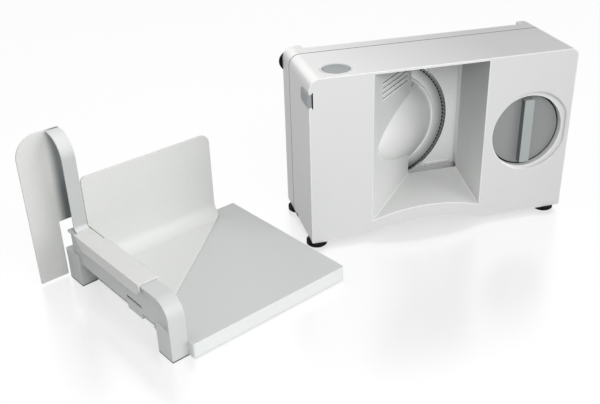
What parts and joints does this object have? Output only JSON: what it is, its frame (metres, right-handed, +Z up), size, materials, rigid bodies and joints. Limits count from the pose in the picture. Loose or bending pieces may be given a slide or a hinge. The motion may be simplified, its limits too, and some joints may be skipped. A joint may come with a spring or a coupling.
{
  "type": "folding food slicer",
  "caption": "Electric food slicer: motor housing with a serrated disc blade and delivery recess, beside its feed table with a sliding food carriage",
  "frame": {"origin": "middle of the whole on plan, on the worktop", "axes": "+X along the housing towards the dial, +Y from the front face to the blade side, +Z up"},
  "size_m": [0.6719, 0.3011, 0.2218],
  "materials": {
    "shell_grey": "fine satin moulded plastic",
    "cover_grey": "satin moulded plastic",
    "metallic_lacquer": "bright grey lacquer",
    "lacquered_plate": "light grey lacquer",
    "table_grey": "satin moulded plastic",
    "blade_steel": "ground stainless steel",
    "turned_steel": "turned steel",
    "dial_grey": "satin grey",
    "switch_grey": "smooth grey",
    "black_rubber": "matt rubber",
    "gear_acetal": "natural acetal",
    "bearing_brass": "turned brass",
    "switch_black": "dark moulded plastic"
  },
  "bodies": {
    "housing": {"front_shell": "shell_grey", "back_cover": "cover_grey", "bottom_feet": "black_rubber", "back_feet": "black_rubber", "switch_ring": "switch_grey", "power_switch": "switch_black", "motor_can": "turned_steel", "gear_frame": "cover_grey", "gear_cover_plate": "cover_grey", "spindle_bushes": "bearing_brass", "shaft_bushes": "bearing_brass", "guide_rods": "turned_steel", "cover_screws": "turned_steel", "cord_gland": "black_rubber"},
    "motor_rotor": {"motor_shaft": "turned_steel", "motor_pinion": "bearing_brass"},
    "lay_rotor": {"layshaft": "turned_steel", "layshaft_wheel": "gear_acetal", "layshaft_pinion": "gear_acetal"},
    "blade_rotor": {"blade": "blade_steel", "blade_gear": "gear_acetal", "blade_spindle": "turned_steel", "blade_lock": "dial_grey"},
    "dial": {"thickness_dial": "dial_grey", "cam_drum": "gear_acetal"},
    "stop_slide": {"stop_plate": "lacquered_plate"},
    "button": {"switch_button": "switch_grey", "button_spring": "turned_steel"},
    "key": {"lock_key": "switch_grey"},
    "table": {"table_plate": "table_grey", "slide_rail": "table_grey", "rear_leg": "table_grey", "leg_pads": "black_rubber", "table_feet": "black_rubber"},
    "catch": {"carriage_catch": "table_grey"},
    "carriage_unit": {"carriage": "metallic_lacquer", "hand_guard": "metallic_lacquer"}
  },
  "joints": [
    {"name": "blade_spin", "type": "hinge", "parent": "housing", "child": "blade_rotor", "pos_m": [0.11975, 0.11494, 0.116], "axis": [0, 1, 0], "continuous": true},
    {"name": "layshaft_spin", "type": "hinge", "parent": "housing", "child": "lay_rotor", "pos_m": [0.06927, 0.10064, 0.07932], "axis": [0, 1, 0], "continuous": true},
    {"name": "motor_spin", "type": "hinge", "parent": "housing", "child": "motor_rotor", "pos_m": [0.04016, 0.09264, 0.07206], "axis": [0, 1, 0], "continuous": true},
    {"name": "dial_turn", "type": "hinge", "parent": "housing", "child": "dial", "pos_m": [0.27525, 0.03164, 0.1187], "axis": [0, 1, 0], "range_deg": [0, 300]},
    {"name": "stop_plate_slide", "type": "slide", "parent": "housing", "child": "stop_slide", "axis": [0, -1, 0], "range_m": [0, 0.015]},
    {"name": "button_press", "type": "slide", "parent": "housing", "child": "button", "axis": [0, 0, -1], "range_m": [0, 0.0035], "stiffness_N_per_m": 300, "springref_m": -0.004, "deforming": ["button_spring"]},
    {"name": "key_press", "type": "slide", "parent": "housing", "child": "key", "axis": [1, 0, 0], "range_m": [0, 0.0015], "stiffness_N_per_m": 300, "springref_m": -0.002},
    {"name": "table_shift", "type": "slide", "parent": "housing", "child": "table", "axis": [-1, 0, 0], "range_m": [0, 0.06]},
    {"name": "carriage_slide", "type": "slide", "parent": "table", "child": "carriage_unit", "axis": [0.4431, -0.8965, 0], "range_m": [0, 0.11]},
    {"name": "catch_press", "type": "slide", "parent": "table", "child": "catch", "axis": [0, 0, 1], "range_m": [0, 0.0025], "stiffness_N_per_m": 200, "springref_m": -0.003}
  ],
  "couplings": [
    {"joint": "layshaft_spin", "follows": "blade_spin", "ratio": -3.875},
    {"joint": "motor_spin", "follows": "blade_spin", "ratio": 15.5},
    {"joint": "stop_plate_slide", "follows": "dial_turn", "m_per_rad": 0.0028648}
  ]
}
